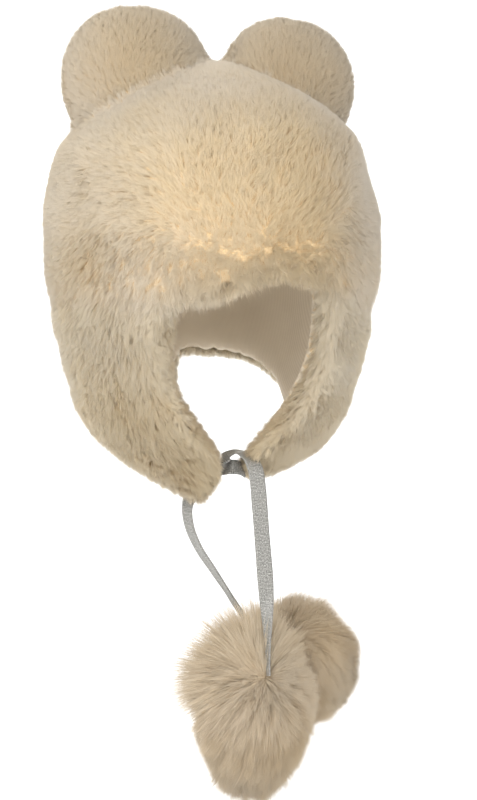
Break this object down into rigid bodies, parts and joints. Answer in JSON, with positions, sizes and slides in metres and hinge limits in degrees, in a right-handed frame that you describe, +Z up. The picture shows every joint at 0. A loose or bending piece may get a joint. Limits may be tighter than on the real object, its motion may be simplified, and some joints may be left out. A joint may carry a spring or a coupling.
{
  "type": "bear ear hat",
  "caption": "Deep plush fur hat with round bear ears, ear flaps closing under the chin, and flat ribbons half knotted there that end in long fur pompoms.",
  "frame": {"origin": "the spot inside the crown that rests on the top of the head (mount head_seat)", "axes": "+X to the wearer's left, +Y to the back of the head, +Z up"},
  "size_m": [0.2364, 0.2639, 0.5438],
  "materials": {
    "crown_fur": "deep shorn plush fur, warm cream",
    "flap_fur": "combed plush fur, warm cream with pale tips",
    "ear_fur": "short plush fur, cream going beige",
    "ribbon": "grey woven satin ribbon, fine speckle",
    "pompom_fur": "long soft fur, beige"
  },
  "bodies": {
    "root": {"crown": "crown_fur", "ear_flap_right": "flap_fur", "ear_flap_left": "flap_fur", "bear_ear_right": "ear_fur", "bear_ear_left": "ear_fur", "tie_ribbon_right": "ribbon", "tie_ribbon_left": "ribbon", "pompom_front": "pompom_fur", "pompom_back": "pompom_fur"}
  },
  "joints": []
}
